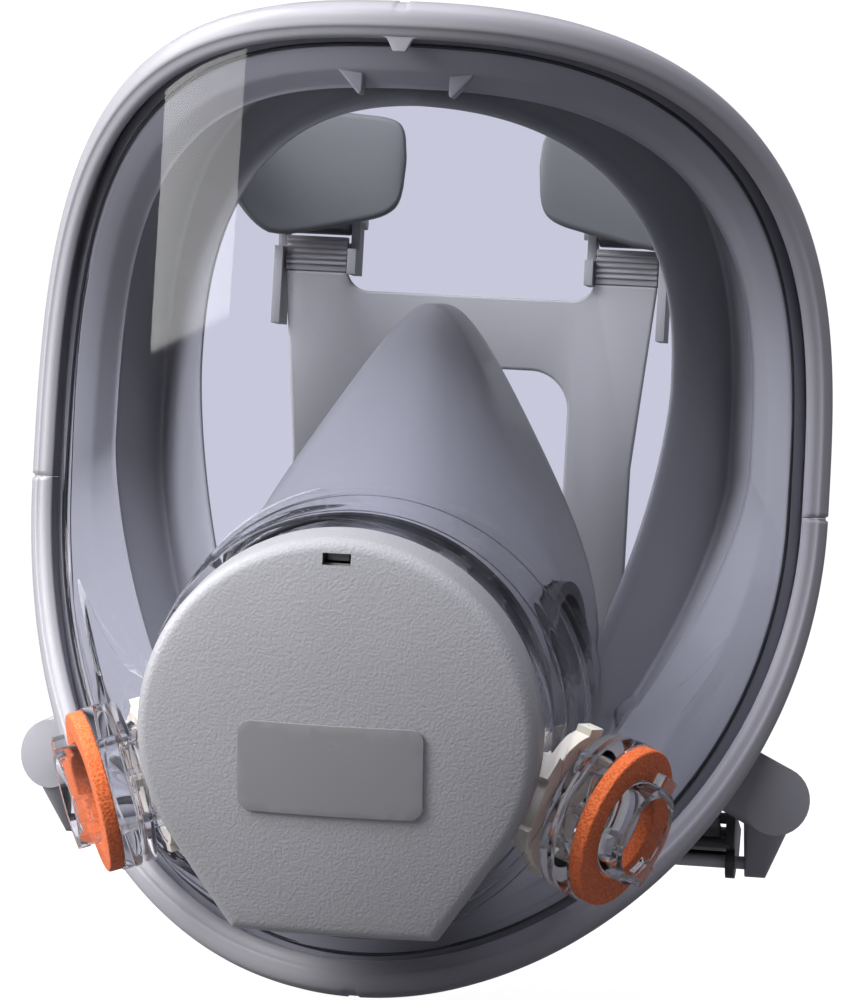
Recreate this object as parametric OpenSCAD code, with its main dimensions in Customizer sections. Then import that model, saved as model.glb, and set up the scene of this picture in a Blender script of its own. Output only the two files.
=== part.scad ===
// Full face respirator: wrapped clear lens in a two-part frame, moulded face seal, nose cup,
// two bayonet filter ports, a front cover over the exhalation valve, and a four-point harness.
// Millimetres. +X is the viewer's right, -Y is the front, +Z is up.
// The origin is the middle of the face-seal opening.

/* [Frame and lens] */
// Half width of the lens clamp line
frame_half_w = 96.3; // [92:0.1:100]
// Height of the frame above the origin
frame_top = 113.5; // [110:0.5:118]
// Depth of the frame below the origin
frame_bottom = 116.5; // [112:0.5:120]
// Squareness of the frame's upper half
frame_top_power = 3.1; // [2.6:0.1:3.6]
// Squareness of the frame's lower half
frame_low_power = 2.05; // [1.9:0.05:2.3]
// How far the lens wraps back from the middle to the sides
lens_wrap = 72; // [66:1:78]
// Thickness of the lens
lens_t = 2.6; // [2:0.1:3]
// Radius of the clear collar where it leaves the lens
collar_root_r = 51; // [50:0.5:53]
// Radius of the clear collar behind the cover
collar_front_r = 47; // [46.5:0.1:48]

/* [Face seal] */
// Thickness of the seal's wall
seal_t = 3; // [2.5:0.1:3.5]
// Half width of the face opening
opening_half_w = 59; // [56:0.5:61]
// Thickness of the sealing flange at the face opening
flange_t = 2; // [1.6:0.1:2.4]

/* [Nose cup] */
// Half width of the nose cup's rim
cup_half_w = 45.5; // [44:0.5:46]
// Height of the nose cup's tip above the origin
cup_tip_z = 47.3; // [42:0.1:50]
// Thickness of the nose cup's wall
cup_t = 2.6; // [2:0.1:3]

/* [Filter ports] */
// Outer radius of the port gasket
gasket_r = 19; // [18:0.5:20]
// Thickness of the port gasket
gasket_t = 3.5; // [3:0.1:4]
// Bore radius of the bayonet ring
bayonet_bore_r = 9.5; // [9:0.1:9.6]
// Outer radius of the bayonet ring
bayonet_r = 11.75; // [11.6:0.05:11.8]
// Height of the bayonet ring above the gasket
bayonet_proud = 4.9; // [4:0.1:6]

/* [Cover] */
// Radius of the cover's round top
cover_r = 45.7; // [44:0.1:46]
// Half width of the cover's flat bottom edge
cover_foot_half_w = 23.7; // [20:0.1:26]
// Distance of the flat bottom edge below the cover's centre
cover_foot_y = 47; // [46:0.5:48]
// Downward tilt of the cover
cover_tilt = 12.4; // [10:0.1:14]

/* [Harness] */
// Width of the harness straps
strap_w = 18; // [16:0.5:19]
// Thickness of the harness straps
strap_t = 2.6; // [2.2:0.1:2.8]
// Radius of the lower straps about the upper buckle pins
lower_strap_r = 157; // [156:0.5:158]

/* [Hidden] */

$fn = 64;
eps = 0.01;

// ---------- curves ----------

// Point of a rounded oval about [0, zc] at angle a, clockwise from the top: [x, z]
function oval(a, zc, w, top, low, top_p, low_p) =
  let (h = cos(a) >= 0 ? top : low, p = cos(a) >= 0 ? top_p : low_p)
  let (r = pow(pow(abs(sin(a)) / w, p) + pow(abs(cos(a)) / h, p), -1 / p))
  [r * sin(a), zc + r * cos(a)];

function unit(v) = v / norm(v);
function mix(p, q, f) = p + (q - p) * f;
function smooth(v) = let (c = min(1, max(0, v))) c * c * (3 - 2 * c);

// Depth of the wrapped lens sheet at [x, z], before the lower bulge
lens_front_y = -72;
lens_lean = 3 / 110;
function wrap_y(x, z) =
  lens_front_y - lens_lean * z + (lens_wrap + lens_lean * z) * pow(abs(x) / frame_half_w, 2);

// The clamp line of the lens, where the frame, the lens and the seal's rim meet
function edge_xz(a) = oval(a, 0, frame_half_w, frame_top, frame_bottom, frame_top_power, frame_low_power);
function edge(a) = let (e = edge_xz(a)) [e[0], wrap_y(e[0], e[1]), e[1]];
function wrap_normal(x, z) = let (d = 0.5)
  unit([wrap_y(x + d, z) - wrap_y(x - d, z), -2 * d, wrap_y(x, z + d) - wrap_y(x, z - d)]);

// Point of the clamp section at angle a: `inward` along the sheet, `back` towards the wearer
function clamp(a, inward, back) =
  let (e = edge(a), n = wrap_normal(e[0], e[2]), t = unit(edge(a + 1) - edge(a - 1)))
  e + unit(cross(t, n)) * inward - n * back;

// ---------- lofts ----------

// Closed solid through sections of equal point count; wraps round when `closed` is true
module loft(sections, closed = false) {
  m = len(sections);
  n = len(sections[0]);
  points = [for (s = sections) each s];
  last = closed ? m - 1 : m - 2;
  sides = [for (i = [0:last], j = [0:n - 1])
    let (p = i * n + j, q = i * n + (j + 1) % n)
    let (r = ((i + 1) % m) * n + j, s = ((i + 1) % m) * n + (j + 1) % n)
    each [[p, s, q], [p, r, s]]];
  caps = closed ? [] : [[for (j = [0:n - 1]) j], [for (j = [n - 1:-1:0]) (m - 1) * n + j]];
  polyhedron(points = points, faces = concat(sides, caps));
}

// ---------- frame ----------

split_gap = 0.3;
frame_step = 4;
// Channel section of the frame: [inward, back] pairs
frame_section = [[0, -2.6], [1.2, -4.6], [3, -5.2], [6.6, -4.9], [8.2, -3.7], [8.5, -1.6], [3.4, -1.6],
  [3.4, 4.4], [7, 4.4], [7, 6], [6, 7], [1.4, 7], [-0.3, 5.4], [-0.8, 1.4]];
// The back of the channel swells into a screw boss on each side of the split
boss_swell = 4.5;
boss_span = 9;
screw_pos = [91.5, 4.2];
screw_len = 26;
screw_r = 1.9;
screw_head_r = 3.4;
screw_head_h = 2.4;

function swell(a, inward, back) =
  let (from_split = min(abs(a - 90), abs(a - 270)))
  back > 5 && inward < 2 ? boss_swell * smooth(2 - 2 * from_split / boss_span) : 0;

module frame_half(from, to) {
  steps = round((to - from) / frame_step);
  loft([for (i = [0:steps]) let (a = from + (to - from) * i / steps)
    [for (p = frame_section) clamp(a, p[0], p[1] + swell((a + 360) % 360, p[0], p[1]))]]);
}

split_cut = split_gap / 2 / frame_half_w * 180 / PI;

module frame_upper() {
  color("#8f8d95") frame_half(split_cut - 90, 90 - split_cut);
}

module frame_lower() {
  color("#7d7b7c") frame_half(90 + split_cut, 270 - split_cut);
}

module frame_screws() {
  color("#a9abad") for (side = [-1, 1])
    translate([side * screw_pos[0], screw_pos[1], 0]) difference() {
      union() {
        cylinder(r = screw_r, h = screw_len, center = true);
        translate([0, 0, -screw_len / 2 - screw_head_h + eps]) cylinder(r = screw_head_r, h = screw_head_h);
      }
      translate([0, 0, -screw_len / 2 - screw_head_h])
        cube([screw_head_r * 1.6, 0.8, screw_head_h], center = true);
    }
}

// ---------- lens ----------

cover_pos = [0, -113.5, -55];
cover_up = [0, -sin(cover_tilt), cos(cover_tilt)];
cover_out = [0, -cos(cover_tilt), -sin(cover_tilt)];

port_face = [63.1, -81, -73];
port_polar = 107.8;
port_turn = -20.2;
port_out = [sin(port_polar) * cos(port_turn), sin(port_polar) * sin(port_turn), cos(port_polar)];
port_seat = port_face - port_out * 12.9;

// The lower lens bulges into flat side panels for the ports and a front panel round the collar
front_panel_y = -84;
ledge_span = 12;
rim_clear = 9.8;
rim_span = 7;
function panel_y(x, z) =
  port_seat[1] - (port_out[0] * (abs(x) - port_seat[0]) + port_out[2] * (z - port_seat[2])) / port_out[1];
function front_y(z) = front_panel_y - tan(cover_tilt) * (z + 52);
function ledge_z(x) = -52 + 49 * pow(max(0, abs(x) - 58) / 36, 1.7);
function bulge_y(x, z) =
  let (low = pow(abs(x) / frame_half_w, frame_low_power) + pow(abs(z) / frame_bottom, frame_low_power))
  let (rim_gap = norm([x, z]) * (pow(low, -1 / frame_low_power) - 1))
  let (y = wrap_y(x, z), out = min(y, max(panel_y(x, z), front_y(z))))
  mix(y, out, smooth((ledge_z(x) + 5 - z) / ledge_span) * smooth((rim_gap - rim_clear) / rim_span));
function bulge_normal(x, z) = let (d = 0.5)
  unit([bulge_y(x + d, z) - bulge_y(x - d, z), -2 * d, bulge_y(x, z + d) - bulge_y(x, z - d)]);

collar_root = [0, -50];
collar_back = 14;
lens_rows = 14;
lens_step = 4;
lens_inset = 3.9;

// Lens point at angle a and fraction f from the clamp line to the collar root, shifted back by `back`
function lens_point(a, f, back) =
  let (e = clamp(a, lens_inset, 0), d = unit([e[0], e[2] - collar_root[1]]))
  let (c = collar_root + d * (collar_root_r - back), q = mix([e[0], e[2]], c, f))
  [q[0], bulge_y(q[0], q[1]), q[1]] - bulge_normal(q[0], q[1]) * back;

function collar_point(a, r) =
  let (e = clamp(a, lens_inset, 0), d = unit([e[0], e[2] - collar_root[1]]))
  cover_pos - cover_out * collar_back + [r * d[0], 0, 0] + cover_up * r * d[1];

module lens_shell() {
  half = lens_t / 2;
  rows = [for (i = [0:lens_rows]) i / lens_rows];
  loft([for (a = [0:lens_step:359]) concat(
    [for (f = rows) lens_point(a, f, -half)],
    [for (i = [lens_rows:-1:0]) lens_point(a, rows[i], half)])], closed = true);
}

module collar_shell() {
  loft([for (a = [0:lens_step:359]) [
    lens_point(a, 1, -lens_t / 2), collar_point(a, collar_front_r),
    collar_point(a, collar_front_r - lens_t), lens_point(a, 1, lens_t / 2)]], closed = true);
}

// Room for both ports' tubes and for the rings that clamp them from behind
module port_cuts() {
  for (side = [0, 1]) mirror([side, 0, 0]) at_port() {
    cylinder(r = bayonet_r + 0.4, h = 60, center = true, $fn = 32);
    translate([0, 0, tube_end - 8]) cylinder(r = gasket_r - 0.5, h = ring_top - tube_end + 8.2, $fn = 48);
  }
}

module lens() {
  color("#c9cde0", 0.35) difference() {
    lens_shell();
    port_cuts();
  }
}

// Clear tube that carries the cover; it is moulded in one with the lens
module lens_collar() {
  color("#c9cde0", 0.35) difference() {
    collar_shell();
    port_cuts();
  }
}

// ---------- face seal ----------

function ring_wall(a, grow, back) =
  let (p = oval(a, 10, 80 + grow, 93 + grow, 112 + grow, 3.1, 1.5))
  [p[0], -62 + 62 * pow(abs(p[0]) / 80, 2) + back, p[1]];
function ring_fold(a, grow, back) =
  let (p = oval(a, 10, 73 + grow, 94 + grow, 114 + grow, 3.1, 1.5))
  [p[0], -36 + 58 * pow(abs(p[0]) / 73, 2) + back, p[1]];
function ring_face(a, back) =
  let (p = oval(a, 30, opening_half_w, 62.8, 122, 2.5, 1.6))
  [p[0], -47 + 47 * pow(abs(p[0]) / opening_half_w, 1.3) + back, p[1]];

seal_step = 4;

module face_seal() {
  color("#6f6f74")
    loft([for (a = [0:seal_step:359]) [
      clamp(a, 10, 1.6), ring_wall(a, 0, -1), ring_fold(a, 0, -2), ring_fold(a, -1, 0),
      ring_face(a, 0), ring_face(a, flange_t),
      ring_fold(a, 0, seal_t), ring_fold(a, seal_t, 0), ring_wall(a, seal_t, 0),
      clamp(a, 9.3, 4.2), clamp(a, lens_inset, 4.2), clamp(a, lens_inset, 1.6)]], closed = true);
}

// ---------- harness tabs ----------

// Axis of the upper pins, which the whole harness swings about: [y, z]
pin_axis = [55.5, 70];
pin_r = 1.6;
pin_len = 24;
lower_pin_len = 33;
upper_x = 40.5;
lower_x = 68;
tab_t = 4;
lower_buckle_a = -17.5;
pin_drop = 6;

module at_swing(a, r) {
  translate([0, pin_axis[0] + r * sin(a), pin_axis[1] - r * cos(a)]) rotate([a, 0, 0]) children();
}

module strap_tab_upper() {
  // The ear leaves the seal's upper corner, turns behind it and ends in a rounded paddle
  path = [[64, 4], [70, 16], [69, 30], [61, 40], [48, 44.5], [18, 42]];
  away = [[0.75, -0.66], [1, 0], [0.96, 0.28], [0.6, 0.8], [0.1, 1], [-0.1, 1]];
  color("#77777c") {
    intersection() {
      translate([0, 0, 55]) linear_extrude(50)
        polygon(concat(path, [for (i = [5:-1:0]) path[i] + tab_t * away[i]]));
      translate([0, 80, 0]) rotate([90, 0, 0]) linear_extrude(100) {
        translate([27, 79]) circle(r = 7);
        polygon([[20, 80], [25.5, 72.2], [54, 64], [70, 66], [80, 72], [80, 94], [60, 99], [24, 97]]);
      }
    }
    translate([upper_x, pin_axis[0], pin_axis[1]]) {
      rotate([0, 90, 0]) cylinder(r = 3.2, h = upper_strap_w, center = true);
      translate([0, -4.4, 1]) cube([upper_strap_w, 9, 4], center = true);
    }
  }
}

module strap_tab_lower() {
  // The ear leaves the seal beside the chin, flares out behind the frame and holds one end of a pin
  color("#77777c") {
    hull() {
      translate([58, -7, -53]) rotate([90, 0, 20]) cylinder(r = 8, h = tab_t, center = true, $fn = 32);
      translate([90, -4, -69]) rotate([90, 0, 20]) cylinder(r = 8.5, h = tab_t, center = true, $fn = 32);
    }
    hull() {
      translate([89, -4, -71]) rotate([90, 0, 20]) cylinder(r = 6, h = tab_t, center = true, $fn = 32);
      translate([lower_x + 17.5, 0, 0]) at_swing(lower_buckle_a, lower_strap_r + pin_drop)
        rotate([0, 90, 0]) cylinder(r = 3.4, h = 5, center = true, $fn = 32);
    }
  }
}

module tab_pins() {
  color("#9a9c9e") for (side = [-1, 1]) {
    translate([side * upper_x, pin_axis[0], pin_axis[1]])
      rotate([0, 90, 0]) cylinder(r = pin_r, h = pin_len, center = true);
    translate([side * (lower_x + 3), 0, 0]) at_swing(lower_buckle_a, lower_strap_r + pin_drop)
      rotate([0, 90, 0]) cylinder(r = pin_r, h = lower_pin_len, center = true);
  }
}

// ---------- nose cup ----------

cup_front_r = 37.5;
cup_front_back = 38;
cup_sleeve = 6;
cup_step = 5;
cup_rows = 5;

// Half width of the cup's rim a distance u below its rounded tip
function cup_w(u) = let (w = 0.56 * sqrt(u * u + 27.8 * u)) w / pow(1 + pow(w / cup_half_w, 8), 1 / 8);
cup_mid_z = -30;
cup_low = 48;
function cup_rim(a, inset) =
  let (tall = cup_tip_z - inset - cup_mid_z, u = tall * (1 - cos(a)), side = cup_w(tall))
  let (x = cos(a) >= 0 ? sign(sin(a)) * cup_w(u) : side * sin(a), c = cos(a))
  let (z = cup_mid_z + (c >= 0 ? tall * c : cup_low * c + inset))
  [x - sign(x) * min(abs(x), inset) * min(1, abs(x) / 10), -12.6 - 0.294 * (cup_tip_z - z), z];
function cup_front(a, inset, back) =
  let (r = cup_front_r - inset)
  cover_pos - cover_out * back + [r * sin(a), 0, 0] + cover_up * r * cos(a);
function cup_point(a, f, inset) =
  mix(cup_rim(a, inset), cup_front(a, inset, cup_front_back), f)
  + [sin(a), 0, cos(a)] * 1.2 * sin(360 * f);

module cup_shell() {
  loft([for (a = [0:cup_step:359]) concat(
    [for (i = [0:cup_rows]) cup_point(a, i / cup_rows, 0)],
    [cup_front(a, 0, cup_front_back - cup_sleeve)],
    [cup_front(a, cup_t, cup_front_back - cup_sleeve)],
    [for (i = [cup_rows:-1:0]) cup_point(a, i / cup_rows, cup_t)])], closed = true);
}

nose_valve_pos = [38.7, -47, -31];
nose_valve_turn = -13;
nose_seat_r = 13;
nose_barrel_r = 11.4;
nose_hole_r = 9.8;

module at_nose_valve() {
  translate(nose_valve_pos) rotate([0, 90, nose_valve_turn]) children();
}

module nose_cup() {
  color("#9b9b9f") difference() {
    cup_shell();
    for (side = [0, 1]) mirror([side, 0, 0]) at_nose_valve()
      cylinder(r = nose_barrel_r + 0.3, h = 30, center = true, $fn = 32);
  }
}

// Ring with a hub on spokes; the hub's hole guides a flap's stem
module spider(rim_r, hole_r, z, h, spokes) {
  translate([0, 0, z]) difference() {
    union() {
      cylinder(r = 3, h = h);
      for (i = [0:spokes - 1]) rotate([0, 0, i * 360 / spokes])
        translate([0, -0.8, 0]) cube([rim_r, 1.6, h]);
    }
    translate([0, 0, -1]) cylinder(r = hole_r, h = h + 2);
  }
}

stem_r = 1.2;
stem_hole_r = 1.26;

module nose_valve_seat() {
  color("#3c3c40") {
    difference() {
      union() {
        translate([0, 0, 2]) cylinder(r = nose_seat_r, h = 2);
        translate([0, 0, -4]) cylinder(r = nose_barrel_r, h = 7);
      }
      translate([0, 0, -5]) cylinder(r = nose_hole_r, h = 12);
    }
    spider(nose_hole_r + 0.5, stem_hole_r, -4, 1.6, 6);
  }
}

// Round flap on a short stem; the flap lies against a seat at z = 0
module flap(r, t, stem) {
  cylinder(r1 = r, r2 = r - t / 2, h = t);
  translate([0, 0, -stem]) cylinder(r = stem_r, h = stem + eps);
}

flap_t = 0.9;
flap_gap = 0.15;

module nose_valve_flap() {
  color("#c9c9cc") translate([0, 0, -4 - flap_gap]) mirror([0, 0, 1]) flap(nose_barrel_r - 0.4, flap_t, 4);
}

// ---------- centre adapter, valve and cover ----------

module at_cover() {
  translate(cover_pos) rotate([90 + cover_tilt, 0, 0]) children();
}

adapter_r = 42.3;
adapter_plate_z = -24;
adapter_plate_t = 3;
valve_hole_r = 14;
valve_seat_r = 16.5;
valve_seat_h = 5;
spigot_r = 34.6;

module center_adapter() {
  plate_top = adapter_plate_z + adapter_plate_t;
  color("#56565a") at_cover() {
    difference() {
      union() {
        translate([0, 0, -30]) cylinder(r = adapter_r, h = 26);
        translate([0, 0, -38]) cylinder(r = spigot_r, h = 12);
      }
      translate([0, 0, plate_top]) cylinder(r = adapter_r - 2.2, h = 40);
      translate([0, 0, adapter_plate_z - 40]) cylinder(r = spigot_r - 2.4, h = 40);
      translate([0, 0, -60]) cylinder(r = valve_hole_r, h = 80);
    }
    difference() {
      translate([0, 0, plate_top - eps]) cylinder(r = valve_seat_r, h = valve_seat_h);
      translate([0, 0, plate_top - 1]) cylinder(r = valve_hole_r, h = valve_seat_h + 2);
    }
    spider(valve_hole_r + 0.6, stem_hole_r, plate_top + valve_seat_h - 2.2, 2, 6);
    // Clip that shows in the cover's window
    translate([-2.4, 40.4, -10]) cube([4.8, 1.6, 8.4]);
  }
}

module adapter_gasket() {
  color("#2b2b2e") at_cover() translate([0, 0, -29]) difference() {
    cylinder(r = 44.6, h = 3);
    translate([0, 0, -1]) cylinder(r = adapter_r + 0.05, h = 5);
  }
}

exhale_seat_z = adapter_plate_z + adapter_plate_t + valve_seat_h;

module exhalation_valve() {
  color("#d8d4cc") at_cover() translate([0, 0, exhale_seat_z + flap_gap]) flap(valve_seat_r - 0.2, 1.1, 4.5);
}

// Cover outline shrunk by `inset`: round top and straight sides down to the flat foot
module cover_outline(inset) {
  r = cover_r - inset;
  foot = [cover_foot_half_w - inset * 0.6, cover_foot_y - inset];
  lean = atan2(foot[1], foot[0]) - acos(r / norm(foot));
  steps = 72;
  arc = [for (i = [0:steps]) let (a = mix(-lean, 180 + lean, i / steps)) r * [cos(a), sin(a)]];
  polygon(concat([-foot, [foot[0], -foot[1]]], arc));
}

cover_wall = 2.2;
cover_skirt = 13;
cover_rise = 5.5;
dome_r = 190;

module front_cover() {
  color("#7e7b78") at_cover() difference() {
    intersection() {
      translate([0, 0, -cover_skirt]) linear_extrude(30) cover_outline(0);
      translate([0, 0, cover_rise - dome_r]) sphere(r = dome_r);
    }
    intersection() {
      translate([0, 0, -cover_skirt - 1]) linear_extrude(30) cover_outline(cover_wall);
      translate([0, 0, cover_rise - dome_r - cover_wall]) sphere(r = dome_r);
    }
    // Latch window at the top edge
    translate([-3.2, 39.9, -2]) cube([6.4, 2.6, 8]);
    // Breathing slot under the flat foot
    translate([-cover_foot_half_w + 6, -cover_foot_y - 1, -cover_skirt - 1])
      cube([2 * cover_foot_half_w - 12, 6, 9]);
  }
}

badge_w = 42;
badge_h = 21;
badge_y = -6;
badge_proud = 0.9;

module cover_badge() {
  color("#8b8886") at_cover() intersection() {
    translate([0, badge_y, 0]) linear_extrude(12) {
      square([badge_w, badge_h - 6], center = true);
      square([badge_w - 6, badge_h], center = true);
      for (i = [-1, 1], j = [-1, 1]) translate([i * (badge_w / 2 - 3), j * (badge_h / 2 - 3)]) circle(r = 3);
    }
    difference() {
      translate([0, 0, cover_rise - dome_r]) sphere(r = dome_r + badge_proud);
      translate([0, 0, cover_rise - dome_r]) sphere(r = dome_r);
    }
  }
}

// ---------- filter ports ----------

module at_port() {
  translate(port_face) rotate([0, port_polar, port_turn]) children();
}

boss_low = -11.4;
ring_top = -15.2;
tube_end = -19;
lug_len = 3;
lug_w = 6;
spider_z = -12;
bore_floor = -10.4;
inner_bore_r = 8.6;

module bayonet() {
  color("#e6e9ee", 0.45) {
    difference() {
      union() {
        translate([0, 0, tube_end]) cylinder(r = bayonet_r, h = bayonet_proud - tube_end);
        translate([0, 0, boss_low]) cylinder(r = gasket_r, h = 2.2);
        translate([0, 0, boss_low + 1]) cylinder(r = gasket_r - 1.6, h = 4);
        translate([0, 0, boss_low + 3.6]) cylinder(r = gasket_r + 0.4, h = -gasket_t - boss_low - 3.6);
        for (i = [0:2]) rotate([0, 0, i * 120 + 40])
          translate([bayonet_bore_r + 1, -lug_w / 2, bayonet_proud - lug_len - 0.3])
            cube([bayonet_r + 1.6 - bayonet_bore_r, lug_w, lug_len]);
      }
      translate([0, 0, bore_floor]) cylinder(r = bayonet_bore_r, h = 40);
      translate([0, 0, tube_end - 1]) cylinder(r = inner_bore_r, h = 40);
    }
    spider(inner_bore_r + 0.5, stem_hole_r, spider_z, 1.4, 4);
  }
}

module port_gasket() {
  color("#d9703a") translate([0, 0, -gasket_t]) difference() {
    cylinder(r = gasket_r, h = gasket_t);
    translate([0, 0, -1]) cylinder(r = bayonet_r + 0.1, h = gasket_t + 2);
  }
}

module inner_ring() {
  h = ring_top - tube_end;
  color("#e0d9c6") translate([0, 0, tube_end]) difference() {
    union() {
      cylinder(r = gasket_r - 2.2, h = h);
      for (i = [0:5]) rotate([0, 0, i * 60]) translate([0, -3, 0]) cube([gasket_r - 0.8, 6, h]);
    }
    translate([0, 0, -1]) cylinder(r = bayonet_r + 0.1, h = 10);
  }
}

module inhalation_valve() {
  color("#d8d4cc") translate([0, 0, spider_z - flap_gap]) mirror([0, 0, 1]) flap(inner_bore_r - 0.4, 0.8, 1.6);
}

// ---------- harness ----------

buckle_t = 2.2;
buckle_drop = 27;
inner_drop = 13.5;
upper_strap_w = 16;

// Two side plates joined by cross bars; the plates turn on a pin through the tab
module buckle_upper() {
  plate_x = upper_strap_w / 2 + 0.5 + buckle_t / 2;
  color("#3a3a3d") translate([upper_x, pin_axis[0], pin_axis[1]]) {
    for (side = [-1, 1]) let (drop = side > 0 ? buckle_drop : inner_drop)
      translate([side * plate_x, 0, 0]) difference() {
        union() {
          rotate([0, 90, 0]) cylinder(r = 3.2, h = buckle_t, center = true);
          translate([-buckle_t / 2, -3.2, -drop]) cube([buckle_t, 6.4, drop]);
          translate([-buckle_t / 2, -8, -drop]) cube([buckle_t, 8, drop - 7]);
        }
        rotate([0, 90, 0]) cylinder(r = pin_r + 0.05, h = 10, center = true);
      }
    for (z = [-11.6, -6.8])
      translate([0, 0, z]) rotate([0, 90, 0]) cylinder(r = 1.6, h = 2 * plate_x, center = true);
  }
}

module buckle_lower() {
  bar_l = strap_w + 5;
  color("#3a3a3d") translate([lower_x, 0, 0]) at_swing(lower_buckle_a, lower_strap_r) {
    for (side = [-1, 1]) translate([side * (strap_w / 2 + 2.4), 0, 0]) difference() {
      union() {
        translate([0, 0, -pin_drop]) rotate([0, 90, 0]) cylinder(r = 4, h = buckle_t, center = true);
        translate([-buckle_t / 2, -9, -4]) cube([buckle_t, 18, 8.5]);
      }
      translate([0, 0, -pin_drop]) rotate([0, 90, 0]) cylinder(r = pin_r + 0.05, h = 10, center = true);
    }
    for (p = [[-7.4, 3.1], [7.4, 3.1], [-7.4, -3.1], [7.4, -3.1]])
      translate([0, p[0], p[1]]) rotate([0, 90, 0]) cylinder(r = 1.4, h = bar_l, center = true);
  }
}

yoke_y = 50;
yoke_t = 2.8;
yoke_top = 57;
yoke_low = -86;
arm_top_x = [32.5, 48.5];
arm_low_x = [27, 44];
bar_z = [34, 52.5];
upper_strap_len = 9;
ridges = 5;

module rounded_window(x0, x1, z0, z1, r) {
  translate([x0 + r, z0]) square([x1 - x0 - 2 * r, z1 - z0]);
  translate([x0, z0 + r]) square([x1 - x0, z1 - z0 - 2 * r]);
  for (x = [x0 + r, x1 - r], z = [z0 + r, z1 - r]) translate([x, z]) circle(r = r);
}

// Flat yoke: two arms joined by a crossbar at the top and a band at the bottom
module harness_yoke() {
  color("#6b6b70") translate([0, yoke_y + yoke_t, 0]) rotate([90, 0, 0]) linear_extrude(yoke_t) difference() {
    polygon([[-arm_top_x[1], yoke_top], [arm_top_x[1], yoke_top], [arm_low_x[1], 10],
      [arm_low_x[1], yoke_low], [-arm_low_x[1], yoke_low], [-arm_low_x[1], 10]]);
    rounded_window(-arm_low_x[0], arm_low_x[0], -62, bar_z[0], 10);
    rounded_window(-arm_top_x[0], arm_top_x[0], bar_z[1], 90, 6);
  }
}

module upper_strap() {
  color("#6b6b70") translate([upper_x - upper_strap_w / 2, yoke_y, yoke_top]) {
    cube([upper_strap_w, strap_t, upper_strap_len]);
    for (i = [0:ridges - 1]) translate([0, -0.5, 1.6 + i * 1.4]) cube([upper_strap_w, 0.6, 0.7]);
  }
}

function swing_point(x, a, r) = [x, pin_axis[0] + r * sin(a), pin_axis[1] - r * cos(a)];

module lower_strap() {
  // Straight through the buckle, then turned in towards the yoke
  a_tail = -23.5;
  a_turn = -11;
  a_end = -1.5;
  steps = 16;
  color("#6b6b70")
    loft([for (i = [0:steps]) let (a = mix(a_tail, a_end, i / steps))
      let (x = mix(lower_x, 35, smooth((a - a_turn) / (a_end - a_turn))))
      [swing_point(x - strap_w / 2, a, lower_strap_r - strap_t / 2),
       swing_point(x + strap_w / 2, a, lower_strap_r - strap_t / 2),
       swing_point(x + strap_w / 2, a, lower_strap_r + strap_t / 2),
       swing_point(x - strap_w / 2, a, lower_strap_r + strap_t / 2)]]);
}

// ---------- nodes ----------

frame_upper();
frame_lower();
frame_screws();
lens();
lens_collar();
face_seal();
strap_tab_upper();  // strap_tab_upper_right
mirror([1, 0, 0]) strap_tab_upper();  // strap_tab_upper_left
strap_tab_lower();  // strap_tab_lower_right
mirror([1, 0, 0]) strap_tab_lower();  // strap_tab_lower_left
tab_pins();
nose_cup();
at_nose_valve() nose_valve_seat();  // nose_valve_seat_right
mirror([1, 0, 0]) at_nose_valve() nose_valve_seat();  // nose_valve_seat_left
at_nose_valve() nose_valve_flap();  // nose_valve_flap_right
mirror([1, 0, 0]) at_nose_valve() nose_valve_flap();  // nose_valve_flap_left
center_adapter();
adapter_gasket();
exhalation_valve();
front_cover();
cover_badge();
at_port() bayonet();  // bayonet_right
mirror([1, 0, 0]) at_port() bayonet();  // bayonet_left
at_port() port_gasket();  // port_gasket_right
mirror([1, 0, 0]) at_port() port_gasket();  // port_gasket_left
at_port() inner_ring();  // inner_ring_right
mirror([1, 0, 0]) at_port() inner_ring();  // inner_ring_left
at_port() inhalation_valve();  // inhalation_valve_right
mirror([1, 0, 0]) at_port() inhalation_valve();  // inhalation_valve_left
buckle_upper();  // buckle_upper_right
mirror([1, 0, 0]) buckle_upper();  // buckle_upper_left
buckle_lower();  // buckle_lower_right
mirror([1, 0, 0]) buckle_lower();  // buckle_lower_left
harness_yoke();
upper_strap();  // upper_strap_right
mirror([1, 0, 0]) upper_strap();  // upper_strap_left
lower_strap();  // lower_strap_right
mirror([1, 0, 0]) lower_strap();  // lower_strap_left
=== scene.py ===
import math

import bmesh
import bpy
import numpy as np
from mathutils import Matrix, Vector


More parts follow.
